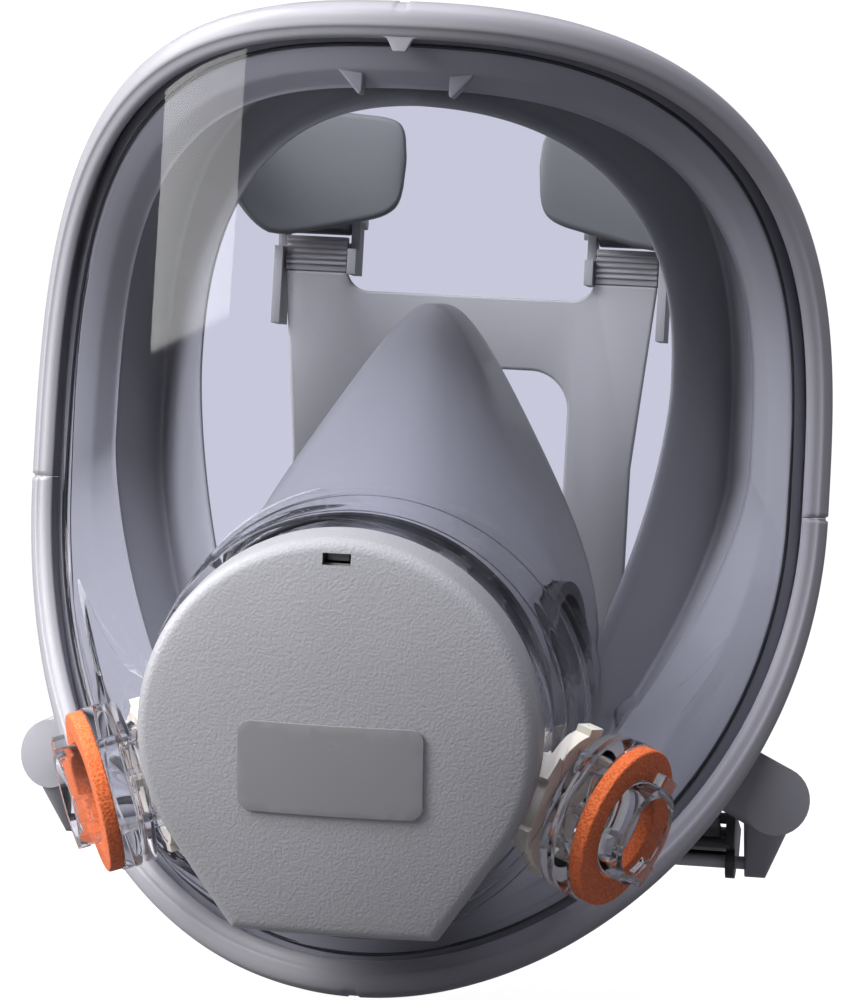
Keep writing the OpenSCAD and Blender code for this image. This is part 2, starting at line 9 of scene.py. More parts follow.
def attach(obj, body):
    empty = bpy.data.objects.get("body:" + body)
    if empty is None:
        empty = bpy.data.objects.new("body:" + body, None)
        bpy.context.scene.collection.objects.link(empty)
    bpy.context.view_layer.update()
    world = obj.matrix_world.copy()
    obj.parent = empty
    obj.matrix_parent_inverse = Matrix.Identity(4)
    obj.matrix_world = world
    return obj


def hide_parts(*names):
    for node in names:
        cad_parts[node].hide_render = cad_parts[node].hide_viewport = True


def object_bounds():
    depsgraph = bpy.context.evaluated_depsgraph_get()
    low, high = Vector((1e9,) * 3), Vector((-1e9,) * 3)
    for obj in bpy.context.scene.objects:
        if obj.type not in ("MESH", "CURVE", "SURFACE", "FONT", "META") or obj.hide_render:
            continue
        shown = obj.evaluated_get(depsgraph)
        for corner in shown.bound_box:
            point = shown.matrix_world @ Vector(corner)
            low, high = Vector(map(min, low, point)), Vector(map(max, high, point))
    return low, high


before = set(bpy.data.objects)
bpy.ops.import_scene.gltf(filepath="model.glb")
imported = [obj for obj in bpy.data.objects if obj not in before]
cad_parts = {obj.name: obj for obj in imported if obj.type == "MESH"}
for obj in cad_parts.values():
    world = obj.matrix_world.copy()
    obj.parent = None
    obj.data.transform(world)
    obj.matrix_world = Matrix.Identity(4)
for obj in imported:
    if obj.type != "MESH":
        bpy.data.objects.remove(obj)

cad_box = [list(corner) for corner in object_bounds()]
MM = 0.001
SIDES = (("right", 1.0), ("left", -1.0))

# ---------------------------------------------------------------- camera, floor and light

CAMERA_POS = (0.1790, -1.1305, -0.0008)
# The camera looks level, from the right of the mask's middle, and is rolled a little
CAMERA_TURN, CAMERA_ROLL = math.radians(9.05073), math.radians(3.17447)
CAMERA_LENS, CAMERA_SENSOR = 166.73, 36.0
# Backdrop tones: as the camera sees it, as seen through the lens, where it is painted dimmer and bluer as
# shade, and as the light it gives
PLAIN_VIEW, SHADE_THROUGH_LENS, STAGE_GLOW = (1.1, 1.1, 1.1), (0.66, 0.665, 0.79), (0.12, 0.12, 0.14)
# How much of the floor's light is its own rather than reflected
GLOW_SHARE = 0.88
FLOOR_GAP = 0.0005
FLOOR_FLAT, FLOOR_BEND, BACKDROP_RISE = 1.6, 1.2, 2.5
COOL = (0.93, 0.94, 1.0)
WHITE = (1.0, 1.0, 1.0)
# Each lamp: name, place, width and height, watts, tint, and whether it shows in gloss
LAMPS = (
    ("key_left", (-1.15, -1.0, 1.0), (0.6, 1.1), 27, WHITE, False),
    ("front_left", (-0.9, -1.0, 0.6), (0.8, 0.8), 21, WHITE, False),
    ("side_left", (-1.3, -0.1, 0.6), (0.7, 1.2), 27, WHITE, True),
    ("top_soft", (-0.05, -0.55, 1.3), (1.2, 0.9), 38, COOL, False),
    ("fill_right", (1.3, -0.9, 0.2), (1.2, 1.6), 0.8, WHITE, False),
    ("back_glow", (0.0, 1.3, 0.5), (1.6, 1.2), 8, COOL, False),
)
SKY_TINT, SKY_STRENGTH = (0.9, 0.92, 1.0), 0.15


def add_camera():
    data = bpy.data.cameras.new("camera")
    data.lens = CAMERA_LENS
    data.sensor_width = CAMERA_SENSOR
    cam = bpy.data.objects.new("camera", data)
    level = Matrix.Rotation(CAMERA_TURN, 4, "Z") @ Matrix.Rotation(math.pi / 2, 4, "X")
    cam.matrix_world = Matrix.Translation(Vector(CAMERA_POS)) @ level @ Matrix.Rotation(CAMERA_ROLL, 4, "Z")
    bpy.context.collection.objects.link(cam)
    bpy.context.scene.camera = cam


def add_floor(lowest):
    """A pale floor that sweeps up into a backdrop on every side."""
    rings, steps = 24, 64
    profile = [(FLOOR_FLAT * i / 4, 0.0) for i in range(1, 5)]
    profile += [(FLOOR_FLAT + FLOOR_BEND * math.sin(t), FLOOR_BEND * (1 - math.cos(t)))
                for t in (math.pi / 2 * i / rings for i in range(1, rings + 1))]
    profile.append((FLOOR_FLAT + FLOOR_BEND, FLOOR_BEND + BACKDROP_RISE))
    verts = [(0.0, 0.0, lowest)]
    faces = []
    for r, h in profile:
        verts += [(r * math.cos(2 * math.pi * j / steps), r * math.sin(2 * math.pi * j / steps), lowest + h)
                  for j in range(steps)]
    for j in range(steps):
        faces.append((0, 1 + j, 1 + (j + 1) % steps))
        for i in range(len(profile) - 1):
            a, b = 1 + i * steps, 1 + (i + 1) * steps
            faces.append((a + j, b + j, b + (j + 1) % steps, a + (j + 1) % steps))
    mesh = bpy.data.meshes.new("floor")
    mesh.from_pydata(verts, [], faces)
    mesh.shade_smooth()
    floor = bpy.data.objects.new("floor", mesh)
    bpy.context.collection.objects.link(floor)
    mesh.materials.append(floor_paper())


def floor_paper():
    """Pale paper that glows: white to the camera, and painted dimmer and cooler where it is seen straight
    through the lens, as painted shade.
    """
    mat = bpy.data.materials.new("floor_paper")
    mat.use_nodes = True
    tree = mat.node_tree
    shader = tree.nodes["Principled BSDF"]
    shader.inputs["Base Color"].default_value = (0.8, 0.8, 0.82, 1)
    shader.inputs["Roughness"].default_value = 0.9
    path = tree.nodes.new("ShaderNodeLightPath")
    straight = path.outputs["Is Transmission Ray"]
    for bounces in ("Diffuse Depth", "Glossy Depth"):
        clip = tree.nodes.new("ShaderNodeMath")
        clip.operation, clip.use_clamp = "SUBTRACT", True
        tree.links.new(straight, clip.inputs[0])
        tree.links.new(path.outputs[bounces], clip.inputs[1])
        straight = clip.outputs["Value"]
    tones = []
    # The dimmer, cooler tone seen through the lens is painted shade
    for ray, tone in ((path.outputs["Is Camera Ray"], PLAIN_VIEW), (straight, SHADE_THROUGH_LENS)):
        node = tree.nodes.new("ShaderNodeMix")
        node.data_type = "RGBA"
        node.inputs["A"].default_value = (*STAGE_GLOW, 1)
        node.inputs["B"].default_value = (*tone, 1)
        tree.links.new(ray, node.inputs["Factor"])
        tones.append(node)
    tree.links.new(tones[0].outputs["Result"], tones[1].inputs["A"])
    glow = tree.nodes.new("ShaderNodeEmission")
    tree.links.new(tones[1].outputs["Result"], glow.inputs["Color"])
    blend = tree.nodes.new("ShaderNodeMixShader")
    blend.inputs["Fac"].default_value = GLOW_SHARE
    tree.links.new(shader.outputs["BSDF"], blend.inputs[1])
    tree.links.new(glow.outputs["Emission"], blend.inputs[2])
    tree.links.new(blend.outputs["Shader"], tree.nodes["Material Output"].inputs["Surface"])
    return mat


def add_lamp(name, pos, size, power, tint, glossy):
    """A soft lamp aimed at the mask, itself out of sight."""
    data = bpy.data.lights.new(name, "AREA")
    data.shape = "RECTANGLE"
    data.size, data.size_y = size
    data.energy = power
    data.color = tint
    lamp = bpy.data.objects.new(name, data)
    lamp.location = pos
    lamp.rotation_euler = (-Vector(pos)).to_track_quat("-Z", "Y").to_euler()
    lamp.visible_camera = False
    lamp.visible_transmission = False
    lamp.visible_glossy = glossy
    bpy.context.collection.objects.link(lamp)


def add_studio():
    world = bpy.data.worlds.new("studio")
    world.use_nodes = True
    sky = world.node_tree.nodes["Background"]
    sky.inputs["Color"].default_value = (*SKY_TINT, 1)
    sky.inputs["Strength"].default_value = SKY_STRENGTH
    bpy.context.scene.world = world
    for lamp in LAMPS:
        add_lamp(*lamp)
    bpy.context.scene.view_settings.view_transform = "Standard"


# ---------------------------------------------------------------- curves, in millimetres

FRAME_HALF_W, FRAME_TOP, FRAME_BOTTOM = 96.3, 113.5, 116.5
FRAME_TOP_POWER, FRAME_LOW_POWER = 3.1, 2.05
LENS_WRAP, LENS_T = 72.0, 2.6
LENS_FRONT_Y, LENS_LEAN = -72.0, 3 / 110
# The collar grows out of the lens round COLLAR_ROOT, in x and z, and ends behind the cover
COLLAR_ROOT, COLLAR_ROOT_R, COLLAR_FRONT_R, COLLAR_BACK = np.array([0.0, -50.0]), 51.0, 47.0, 14.0
COLLAR_BEAD, BEAD_PLACES, BEAD_HALF = 0.7, (0.2, 0.62), 0.07
COVER_POS = np.array([0.0, -113.5, -55.0])
COVER_TILT = math.radians(12.4)
COVER_UP = np.array([0.0, -math.sin(COVER_TILT), math.cos(COVER_TILT)])
COVER_OUT = np.array([0.0, -math.cos(COVER_TILT), -math.sin(COVER_TILT)])
PORT_FACE = np.array([63.1, -81.0, -73.0])
PORT_POLAR, PORT_TURN = math.radians(107.8), math.radians(-20.2)
PORT_OUT = np.array([math.sin(PORT_POLAR) * math.cos(PORT_TURN),
                     math.sin(PORT_POLAR) * math.sin(PORT_TURN), math.cos(PORT_POLAR)])
PORT_STAND = 12.9
PORT_SEAT = PORT_FACE - PORT_OUT * PORT_STAND
PORT_HOLE_R = 12.15
LENS_INSET = 3.9
# A fine crease in the lens beside the frame, which fades out towards the top
CREASE_H, CREASE_IN, CREASE_HALF, CREASE_TOP, CREASE_FADE = 0.8, 8.0, 1.2, 70, 30
# Where the lens steps forward: the step's height at the middle, and how it rises over its reach at the sides
LEDGE_Z, LEDGE_RISE, LEDGE_FROM_X, LEDGE_REACH, LEDGE_POWER = -52, 49, 58, 36, 1.7
LEDGE_LIFT, LEDGE_SPAN, RIM_CLEAR, RIM_SPAN = 5, 12, 9.8, 7
BULGE_FRONT_Y, BULGE_BLEND = -84.0, 0.8


def smooth(v):
    c = np.clip(v, 0.0, 1.0)
    return c * c * (3 - 2 * c)


def unit(v):
    return v / np.linalg.norm(v, axis=-1, keepdims=True)


def soft_max(a, b, k):
    return np.maximum(a, b) + k * np.log1p(np.exp(-np.abs(a - b) / k))


def oval(a, zc, w, top, low, top_p, low_p):
    """Points of a rounded oval about (0, zc), clockwise from the top, as x and z."""
    upper = np.cos(a) >= 0
    h, p = np.where(upper, top, low), np.where(upper, top_p, low_p)
    r = (np.abs(np.sin(a) / w) ** p + np.abs(np.cos(a) / h) ** p) ** (-1 / p)
    return r * np.sin(a), zc + r * np.cos(a)


def wrap_y(x, z):
    return LENS_FRONT_Y - LENS_LEAN * z + (LENS_WRAP + LENS_LEAN * z) * (x / FRAME_HALF_W) ** 2


def surface_normal(height, x, z):
    """Unit normal, pointing out to the front, of the surface y = height(x, z)."""
    d = 0.5
    gx = height(x + d, z) - height(x - d, z)
    gz = height(x, z + d) - height(x, z - d)
    return unit(np.stack([gx, np.full_like(gx, -2 * d), gz], axis=-1))


def edge(a):
    x, z = oval(a, 0, FRAME_HALF_W, FRAME_TOP, FRAME_BOTTOM, FRAME_TOP_POWER, FRAME_LOW_POWER)
    return np.stack([x, wrap_y(x, z), z], axis=-1)


def clamp(a, inward, back):
    """Point of the clamp section at angle a: inward along the lens sheet, back towards the wearer."""
    e = edge(a)
    n = surface_normal(wrap_y, e[..., 0], e[..., 2])
    t = unit(edge(a + 0.01) - edge(a - 0.01))
    inward, back = np.asarray(inward)[..., None], np.asarray(back)[..., None]
    return e + unit(np.cross(t, n)) * inward - n * back


def panel_y(x, z):
    """Depth of the flat facet that a port stands on."""
    across = PORT_OUT[0] * (np.abs(x) - PORT_SEAT[0]) + PORT_OUT[2] * (z - PORT_SEAT[2])
    return PORT_SEAT[1] - across / PORT_OUT[1]


def bulge_y(x, z):
    """Depth of the lens: the wrapped sheet, stepped forward low down to carry the ports and the collar."""
    low = np.abs(x / FRAME_HALF_W) ** FRAME_LOW_POWER + np.abs(z / FRAME_BOTTOM) ** FRAME_LOW_POWER
    ledge = LEDGE_Z + LEDGE_RISE * (np.maximum(0, np.abs(x) - LEDGE_FROM_X) / LEDGE_REACH) ** LEDGE_POWER
    front = BULGE_FRONT_Y - math.tan(COVER_TILT) * (z - LEDGE_Z)
    y = wrap_y(x, z)
    out = -soft_max(-y, -soft_max(panel_y(x, z), front, BULGE_BLEND), BULGE_BLEND)
    rim_gap = np.hypot(x, z) * (low ** (-1 / FRAME_LOW_POWER) - 1)
    below, inside = smooth((ledge + LEDGE_LIFT - z) / LEDGE_SPAN), smooth((rim_gap - RIM_CLEAR) / RIM_SPAN)
    return y + (out - y) * below * inside


# ---------------------------------------------------------------- mesh helpers

# In degrees: below the first, faces count as one flat face; past the others, edges get a radius or stay sharp
FLAT_ANGLE, HARD_ANGLE, SHARP_ANGLE = 0.6, 32, 50
# Vertices closer than this, in metres, are one
WELD = 1e-6
# A rounded corner of a section: how much of a side it may take up, and into how many steps it is cut
ROUND_SHARE, ROUND_STEPS = 0.45, 3


def new_object(name, verts, faces):
    mesh = bpy.data.meshes.new(name)
    mesh.from_pydata([tuple(v) for v in verts], [], faces)
    mesh.validate()
    mesh.shade_smooth()
    obj = bpy.data.objects.new(name, mesh)
    bpy.context.collection.objects.link(obj)
    return obj


def loft(name, sections, closed=True):
    """Skin through sections, an array of shape (sections, points, 3) in millimetres."""
    pts = np.asarray(sections, dtype=float)
    m, n = pts.shape[:2]
    last = m if closed else m - 1
    faces = [(i * n + j, i * n + (j + 1) % n, ((i + 1) % m) * n + (j + 1) % n, ((i + 1) % m) * n + j)
             for i in range(last) for j in range(n)]
    if not closed:
        faces.append(tuple(range(n - 1, -1, -1)))
        faces.append(tuple((m - 1) * n + j for j in range(n)))
    obj = new_object(name, pts.reshape(-1, 3) * MM, faces)
    bm = bmesh.new()
    bm.from_mesh(obj.data)
    bmesh.ops.recalc_face_normals(bm, faces=bm.faces)
    bm.to_mesh(obj.data)
    bm.free()
    return obj


def corner_cut(points, closed=True):
    """Rounds a polyline's corners by cutting each one off, twice over."""
    pts = np.asarray(points, dtype=float)
    for _ in range(2):
        nxt = np.roll(pts, -1, axis=0) if closed else pts[1:]
        cur = pts if closed else pts[:-1]
        cut = np.stack([cur * 0.75 + nxt * 0.25, cur * 0.25 + nxt * 0.75], axis=1)
        cut = cut.reshape(-1, pts.shape[1])
        pts = cut if closed else np.concatenate([pts[:1], cut, pts[-1:]])
    return pts


def round_sections(sections, radius):
    """Rounds every corner of closed sections, an array of shape (sections, points, 3)."""
    p = np.asarray(sections, dtype=float)
    before, after = np.roll(p, 1, axis=1) - p, np.roll(p, -1, axis=1) - p
    len_b = np.linalg.norm(before, axis=-1, keepdims=True)
    len_a = np.linalg.norm(after, axis=-1, keepdims=True)
    start = p + before / len_b * np.minimum(radius, ROUND_SHARE * len_b)
    end = p + after / len_a * np.minimum(radius, ROUND_SHARE * len_a)
    ts = [i / ROUND_STEPS for i in range(ROUND_STEPS + 1)]
    out = np.stack([start * (1 - t) ** 2 + p * 2 * t * (1 - t) + end * t ** 2 for t in ts], axis=2)
    return out.reshape(p.shape[0], -1, 3)


def extrude_outline(name, outline, depth, place, bevel=0.4):
    """A flat outline in x and z millimetres, made `depth` thick and moved by place(x, y, z)."""
    n = len(outline)
    verts = [place(x, y, z) for y in (0.0, depth) for x, z in outline]
    faces = [tuple(range(n)), tuple(range(2 * n - 1, n - 1, -1))]
    faces += [(i, i + n, (i + 1) % n + n, (i + 1) % n) for i in range(n)]
    obj = new_object(name, np.array(verts) * MM, faces)
    soften(obj, bevel)
    return obj


def soften(obj, width):
    """Gives an object's hard edges a small radius, and smooth shading between what stays sharp."""
    bm = bmesh.new()
    bm.from_mesh(obj.data)
    bmesh.ops.remove_doubles(bm, verts=bm.verts, dist=WELD)
    bmesh.ops.dissolve_limit(bm, angle_limit=math.radians(FLAT_ANGLE), verts=bm.verts, edges=bm.edges)
    bmesh.ops.recalc_face_normals(bm, faces=bm.faces)
    bm.to_mesh(obj.data)
    bm.free()
    mod = obj.modifiers.new("edges", "BEVEL")
    mod.width = width * MM
    mod.segments = 3
    mod.limit_method = "ANGLE"
    mod.angle_limit = math.radians(HARD_ANGLE)
    mod.harden_normals = False
    bpy.context.view_layer.objects.active = obj
    bpy.ops.object.modifier_apply(modifier=mod.name)
    obj.data.shade_smooth()
    obj.data.set_sharp_from_angle(angle=math.radians(SHARP_ANGLE))


def rounded_copy(node, width, look, body):
    """A finer copy of a CAD node with rounded edges, standing for the node."""
    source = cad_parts[node]
    obj = bpy.data.objects.new(node + "_rounded", source.data.copy())
    obj.matrix_world = source.matrix_world
    bpy.context.collection.objects.link(obj)
    soften(obj, width)
    return finish_piece(obj, MATS[look], body, node)


def finish_piece(obj, material, body, *nodes):
    obj.data.materials.clear()
    obj.data.materials.append(material)
    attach(obj, body)
    if nodes:
        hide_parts(*nodes)
    return obj


# ---------------------------------------------------------------- materials

# How far scuffs lower and raise the roughness of a surface with a wear of 1
SCUFF_DOWN, SCUFF_UP = 0.05, 0.07
CLEAR_COAT, FOAM_CELLS, FOAM_ROUGH = 0.32, 1500.0, 0.75


def node_material(name):
    mat = bpy.data.materials.new(name)
    mat.use_nodes = True
    return mat, mat.node_tree, mat.node_tree.nodes["Principled BSDF"]


def noise(tree, scale, detail, rough=0.5):
    coords = tree.nodes.new("ShaderNodeTexCoord")
    tex = tree.nodes.new("ShaderNodeTexNoise")
    tex.inputs["Scale"].default_value = scale
    tex.inputs["Detail"].default_value = detail
    tex.inputs["Roughness"].default_value = rough
    tree.links.new(coords.outputs["Object"], tex.inputs["Vector"])
    return tex.outputs["Fac"]


def ramp(tree, value, low, high, start=0.3, end=0.7):
    node = tree.nodes.new("ShaderNodeMapRange")
    node.inputs["From Min"].default_value = start
    node.inputs["From Max"].default_value = end
    node.inputs["To Min"].default_value = low
    node.inputs["To Max"].default_value = high
    tree.links.new(value, node.inputs["Value"])
    return node.outputs["Result"]


def colour_mix(tree, value, dark, light):
    node = tree.nodes.new("ShaderNodeMix")
    node.data_type = "RGBA"
    node.inputs["A"].default_value = (*dark, 1)
    node.inputs["B"].default_value = (*light, 1)
    tree.links.new(value, node.inputs["Factor"])
    return node.outputs["Result"]


def bump(tree, shader, value, strength, distance):
    node = tree.nodes.new("ShaderNodeBump")
    node.inputs["Strength"].default_value = strength
    node.inputs["Distance"].default_value = distance
    tree.links.new(value, node.inputs["Height"])
    tree.links.new(node.outputs["Normal"], shader.inputs["Normal"])


def moulded(name, dark, light, rough, grain=900.0, relief=0.15, depth=0.00012, blotch=14.0,
            coat=0.0, wear=1.0):
    """Moulded plastic or rubber: fine surface grain, slow colour drift and uneven gloss."""
    mat, tree, shader = node_material(name)
    drift = noise(tree, blotch, 3.0)
    tree.links.new(colour_mix(tree, ramp(tree, drift, 0, 1), dark, light), shader.inputs["Base Color"])
    scuff = noise(tree, 120.0, 6.0, 0.6)
    gloss = ramp(tree, scuff, rough - SCUFF_DOWN * wear, rough + SCUFF_UP * wear)
    tree.links.new(gloss, shader.inputs["Roughness"])
    bump(tree, shader, noise(tree, grain, 2.0), relief, depth)
    shader.inputs["Coat Weight"].default_value = coat
    return mat


def clear(name, tint, ior):
    """Clear moulded polycarbonate that lets lamp light through to what is behind it."""
    mat, tree, shader = node_material(name)
    shader.inputs["Base Color"].default_value = (*tint, 1)
    shader.inputs["Transmission Weight"].default_value = 1.0
    shader.inputs["IOR"].default_value = ior
    shader.inputs["Roughness"].default_value = 0.0
    shader.inputs["Coat Weight"].default_value = CLEAR_COAT
    bump(tree, shader, noise(tree, 35.0, 2.0), 0.03, 0.0002)
    path = tree.nodes.new("ShaderNodeLightPath")
    through = tree.nodes.new("ShaderNodeBsdfTransparent")
    through.inputs["Color"].default_value = (*tint, 1)
    mix = tree.nodes.new("ShaderNodeMixShader")
    out = tree.nodes["Material Output"]
    tree.links.new(path.outputs["Is Shadow Ray"], mix.inputs["Fac"])
    tree.links.new(shader.outputs["BSDF"], mix.inputs[1])
    tree.links.new(through.outputs["BSDF"], mix.inputs[2])
    tree.links.new(mix.outputs["Shader"], out.inputs["Surface"])
    return mat


def foam(name, dark, light):
    """Foamed rubber with open cells."""
    mat, tree, shader = node_material(name)
    cells = tree.nodes.new("ShaderNodeTexVoronoi")
    cells.inputs["Scale"].default_value = FOAM_CELLS
    coords = tree.nodes.new("ShaderNodeTexCoord")
    tree.links.new(coords.outputs["Object"], cells.inputs["Vector"])
    tree.links.new(colour_mix(tree, ramp(tree, cells.outputs["Distance"], 0, 1, 0.1, 0.7), dark, light),
                   shader.inputs["Base Color"])
    shader.inputs["Roughness"].default_value = FOAM_ROUGH
    bump(tree, shader, cells.outputs["Distance"], 0.5, 0.0003)
    return mat


MATS = {
    "frame": moulded("frame_plastic", (0.2, 0.196, 0.212), (0.225, 0.22, 0.24), 0.34, 700, 0.08),
    "seal": moulded("seal_rubber", (0.25, 0.25, 0.265), (0.28, 0.28, 0.297), 0.4, 500, 0.03),
    "cup": moulded("cup_silicone", (0.195, 0.195, 0.21), (0.21, 0.21, 0.226), 0.3, 400, 0.002,
                   blotch=6.0, coat=0.3, wear=0.2),
    "seat": moulded("valve_seat", (0.02, 0.02, 0.022), (0.035, 0.035, 0.04), 0.35, 900, 0.08),
    "flap": moulded("valve_flap", (0.55, 0.54, 0.5), (0.62, 0.6, 0.56), 0.35, 900, 0.05),
    "adapter": moulded("adapter_plastic", (0.2, 0.2, 0.205), (0.24, 0.24, 0.245), 0.35),
    # The upper tabs' rubber is darker than the seal's: painted shade, for the shade they sit in behind the
    # seal
    "tab": moulded("tab_rubber_painted_shade", (0.09, 0.094, 0.1), (0.11, 0.114, 0.122), 0.42, 500, 0.03),
    "gasket": moulded("gasket_rubber", (0.01, 0.01, 0.012), (0.02, 0.02, 0.022), 0.5),
    "cover": moulded("cover_plastic", (0.205, 0.205, 0.215), (0.24, 0.24, 0.252), 0.42, 1500, 0.8, 0.0002),
    "badge": moulded("badge_plastic", (0.142, 0.142, 0.145), (0.162, 0.162, 0.166), 0.16, 500, 0.05,
                     coat=0.5),
    "lens": clear("lens_polycarbonate", (0.90, 0.902, 0.94), 1.03),
    "port": clear("port_polycarbonate", (0.97, 0.97, 0.98), 1.2),
    "orange": foam("gasket_foam", (0.36, 0.058, 0.015), (0.54, 0.13, 0.042)),
    "cream": moulded("ring_plastic", (0.7, 0.66, 0.56), (0.78, 0.74, 0.64), 0.3, 600, 0.04),
    "harness": moulded("harness_rubber", (0.245, 0.245, 0.256), (0.275, 0.275, 0.288), 0.46, 600, 0.14),
    "strap": moulded("strap_rubber", (0.05, 0.05, 0.054), (0.075, 0.075, 0.08), 0.42, 600, 0.14),
    "buckle": moulded("buckle_plastic", (0.035, 0.035, 0.038), (0.055, 0.055, 0.06), 0.35, 800, 0.12),
    "steel": moulded("screw_metal", (0.4, 0.4, 0.42), (0.5, 0.5, 0.52), 0.3, 900, 0.05),
}
# The look of each CAD node, by the start of its name
NODE_LOOKS = {
    "frame_upper": "frame", "frame_lower": "frame", "frame_screws": "steel", "lens": "lens",
    "face_seal": "seal", "tab_pins": "steel", "nose_cup": "cup", "center_adapter": "adapter",
    "adapter_gasket": "gasket", "exhalation_valve": "flap", "front_cover": "cover",
    "cover_badge": "badge", "harness_yoke": "harness", "strap_tab": "seal", "nose_valve_seat": "seat",
    "nose_valve_flap": "flap", "bayonet": "port", "port_gasket": "orange", "inner_ring": "cream",
    "inhalation_valve": "flap", "buckle": "buckle", "upper_strap": "harness", "lower_strap": "harness"}


def dress_cad_nodes():
    for name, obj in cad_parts.items():
        look = next(look for start, look in NODE_LOOKS.items() if name.startswith(start))
        for slot in obj.material_slots:
            slot.material = MATS[look]


# ---------------------------------------------------------------- pieces

# The frame's section: inward along the lens and back towards the wearer, both from the lens's outer edge
FRAME_SECTION = ((0, -2.6), (1.2, -4.6), (3, -5.2), (5.6, -5.1), (6.1, -4.4), (7.9, -3.6), (8.5, -1.6),
                 (3.4, -1.6), (3.4, 4.4), (7, 4.4), (7, 6), (6, 7), (1.4, 7), (-0.3, 5.4), (-0.8, 1.4))
FRAME_STEPS, FRAME_ROUND = 220, 0.8
# Degrees from the middle of each half, where the groove and the pinched ends need stations of their own
FRAME_STATIONS = (-89.8, -89.6, -0.75, -0.6, -0.45, -0.3, 0.3, 0.45, 0.6, 0.75, 89.6, 89.8)
SPLIT_HALF, PINCH, PINCH_FROM = 0.02, 0.45, 89.7
GROOVE, GROOVE_FROM, GROOVE_TO = 0.3, 0.25, 0.65
SCREW_SWELL, SWELL_SPAN = 4.5, 9
# The pointed mark under the middle of the top lip: its outline in x and z, its depth and where it sits
LIP_MARK = ((-5.4, 0.4), (5.4, 0.4), (3.0, -0.4), (1.5, -3.4), (-1.5, -3.4), (-3.0, -0.4))
LIP_MARK_T, LIP_IN, LIP_BACK = 1.7, 8.0, -3.3


def make_frame():
    """The two frame halves, each swelling into screw bosses at its ends, and the mark on the top lip."""
    section = np.array(FRAME_SECTION)
    inward, back = section[:, 0], section[:, 1]
    boss, outside, front = (back > 5) & (inward < 2), inward < 1.3, back < -3
    reach = math.pi / 2 - math.radians(SPLIT_HALF)
    for name, middle in (("frame_upper", 0.0), ("frame_lower", math.pi)):
        even = np.linspace(middle - reach, middle + reach, FRAME_STEPS)
        angles = np.sort(np.concatenate([even, middle + np.radians(FRAME_STATIONS)]))
        off = np.degrees(np.abs(angles - middle))
        swell = SCREW_SWELL * smooth(2 - 2 * (90 - off) / SWELL_SPAN)
        pinch = PINCH * (off > PINCH_FROM)
        groove = GROOVE * ((off > GROOVE_FROM) & (off < GROOVE_TO))
        grid = [clamp(np.full(len(section), a), inward + np.where(outside, g, 0),
                      back + np.where(boss, b, 0) + np.where(front, e, 0))
                for a, b, g, e in zip(angles, swell, groove + pinch, pinch)]
        half = loft(name + "_moulding", round_sections(grid, FRAME_ROUND), closed=False)
        finish_piece(half, MATS["frame"], "mask", name)
    lip = clamp(np.array([0.0]), np.array([LIP_IN]), np.array([LIP_BACK]))[0]
    mark = extrude_outline("lip_notch", LIP_MARK, LIP_MARK_T,
                           lambda x, y, z: (lip[0] + x, lip[1] + y, lip[2] + z))
    finish_piece(mark, MATS["frame"], "mask")


def lens_edge(a):
    """The lens's outer edge at angles a, and its direction from the collar's root in x and z."""
    e = clamp(a, np.full_like(a, LENS_INSET), np.zeros_like(a))
    return e, unit(np.stack([e[:, 0], e[:, 2] - COLLAR_ROOT[1]], axis=-1))


def lens_point(a, f, back):
    """Points of the lens sheet, f of the way from its edge to the collar, `back` behind mid-sheet."""
    e, d = lens_edge(a)
    c = COLLAR_ROOT + d * (COLLAR_ROOT_R - back)
    x, z = e[:, 0] + (c[:, 0] - e[:, 0]) * f, e[:, 2] + (c[:, 1] - e[:, 2]) * f
    p = np.stack([x, bulge_y(x, z), z], axis=-1)
    inward = f * np.hypot(c[:, 0] - e[:, 0], c[:, 1] - e[:, 2])
    ridge = CREASE_H * np.exp(-((inward - CREASE_IN) / CREASE_HALF) ** 2)
    crease = ridge * smooth((CREASE_TOP - z) / CREASE_FADE)
    return p - surface_normal(bulge_y, x, z) * (back - crease)[:, None]


def collar_point(a, r, back):
    """Points of the collar at radius r, `back` behind the cover's centre."""
    d = lens_edge(a)[1]
    return (COVER_POS - COVER_OUT * back + np.outer(d[:, 0] * r, [1.0, 0, 0])
            + np.outer(d[:, 1] * r, COVER_UP))


# The cuts can fail where mesh lines meet those of the port holes, so the first line is turned by LENS_START
LENS_START, LENS_COLUMNS, LENS_ROWS, COLLAR_ROWS = 0.0023, 360, 110, 40
CUT_LENGTH, HOLE_SIDES = 40.0, 96


def make_lens():
    """The clear sheet and its collar in one piece, with two beads round the collar and the port holes."""
    a = np.linspace(0, 2 * math.pi, LENS_COLUMNS, endpoint=False) + LENS_START
    half = LENS_T / 2
    skins = []
    for back, radius in ((-half, COLLAR_FRONT_R), (half, COLLAR_FRONT_R - LENS_T)):
        skin = [lens_point(a, i / LENS_ROWS, back) for i in range(LENS_ROWS + 1)]
        root = skin[LENS_ROWS]
        for k in range(1, COLLAR_ROWS + 1):
            t = k / COLLAR_ROWS
            bead = COLLAR_BEAD * sum(max(0.0, 1 - abs(t - at) / BEAD_HALF) for at in BEAD_PLACES)
            skin.append(root * (1 - t) + collar_point(a, radius, COLLAR_BACK) * t
                        + collar_point(a, bead, 0) - collar_point(a, 0, 0))
        skins.append(skin)
    lens = loft("lens_shell", np.stack(skins[0] + skins[1][::-1], axis=1))
    for _, s in SIDES:
        cut_round(lens, PORT_FACE * [s, 1, 1], PORT_OUT * [s, 1, 1], PORT_HOLE_R, CUT_LENGTH)
    finish_piece(lens, MATS["lens"], "mask", "lens", "lens_collar")


def cut_round(obj, centre, axis, radius, length):
    """Cuts a round hole through obj along axis."""
    bpy.ops.mesh.primitive_cylinder_add(vertices=HOLE_SIDES, radius=radius * MM, depth=length * MM)
    turn = Vector(axis).to_track_quat("Z", "Y").to_matrix().to_4x4()
    take_away(obj, bpy.context.object, Matrix.Translation(Vector(centre) * MM) @ turn)


